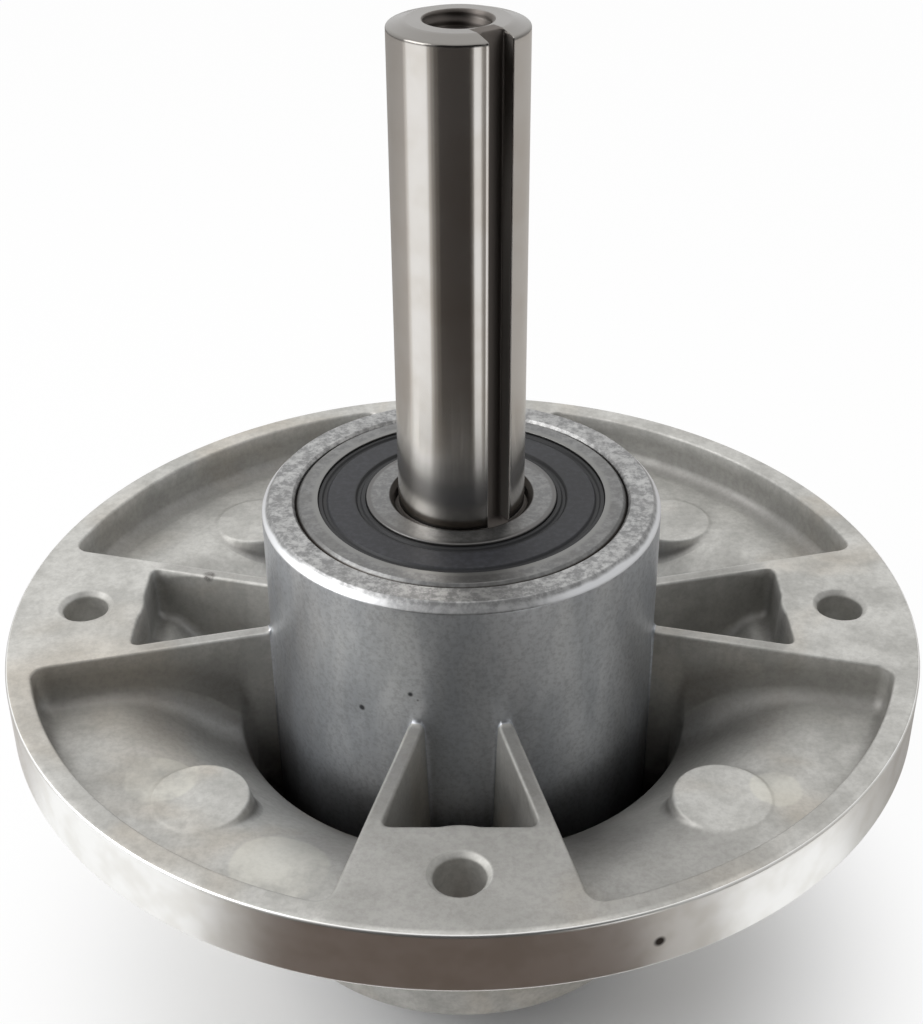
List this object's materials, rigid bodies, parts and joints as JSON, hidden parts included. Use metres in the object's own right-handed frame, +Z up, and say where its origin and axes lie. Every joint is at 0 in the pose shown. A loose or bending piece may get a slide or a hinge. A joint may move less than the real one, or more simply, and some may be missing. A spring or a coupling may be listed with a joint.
{
  "type": "mower blade spindle",
  "caption": "Flanged cast housing with ribbed pockets that carries a keyed steel shaft on two sealed ball bearings; the blade bolts under the shaft and a pulley fits on its top end.",
  "frame": {"origin": "on the shaft axis at the blade seat, the lowest plane of the part", "axes": "+Z up along the shaft towards the keyed end; +X and +Y each pass through one bolt hole of the flange"},
  "size_m": [0.1732, 0.1732, 0.1962],
  "materials": {
    "cast_housing": "die cast, dull grey with light stains; hub face machined",
    "shaft_steel": "turned and ground, bright, with a thin brown film",
    "spacer_steel": "plain tube, satin",
    "bearing_steel": "ground, satin",
    "ball_steel": "polished",
    "cage_steel": "pressed sheet, satin",
    "seal_rubber": "moulded rubber, matt blue-black",
    "seal_plate_steel": "pressed sheet, satin"
  },
  "bodies": {
    "housing": {"housing": "cast_housing", "upper_outer_ring": "bearing_steel", "lower_outer_ring": "bearing_steel", "upper_seal_outside": "seal_rubber", "upper_seal_inside": "seal_rubber", "upper_seal_outside_plate": "seal_plate_steel", "upper_seal_inside_plate": "seal_plate_steel", "lower_seal_outside": "seal_rubber", "lower_seal_inside": "seal_rubber", "lower_seal_outside_plate": "seal_plate_steel", "lower_seal_inside_plate": "seal_plate_steel"},
    "rotor": {"shaft": "shaft_steel", "bearing_spacer": "spacer_steel", "upper_inner_ring": "bearing_steel", "lower_inner_ring": "bearing_steel"},
    "upper_cage": {"upper_balls": "ball_steel", "upper_cage_top": "cage_steel", "upper_cage_bottom": "cage_steel", "upper_cage_rivets": "cage_steel"},
    "lower_cage": {"lower_balls": "ball_steel", "lower_cage_top": "cage_steel", "lower_cage_bottom": "cage_steel", "lower_cage_rivets": "cage_steel"}
  },
  "joints": [
    {"name": "shaft_spin", "type": "hinge", "parent": "housing", "child": "rotor", "pos_m": [0, 0, 0.083], "axis": [0, 0, 1], "continuous": true},
    {"name": "upper_cage_spin", "type": "hinge", "parent": "housing", "child": "upper_cage", "pos_m": [0, 0, 0.1], "axis": [0, 0, 1], "continuous": true},
    {"name": "lower_cage_spin", "type": "hinge", "parent": "housing", "child": "lower_cage", "pos_m": [0, 0, 0.0225], "axis": [0, 0, 1], "continuous": true}
  ],
  "couplings": [
    {"joint": "upper_cage_spin", "follows": "shaft_spin", "ratio": 0.3687},
    {"joint": "lower_cage_spin", "follows": "shaft_spin", "ratio": 0.3687}
  ]
}
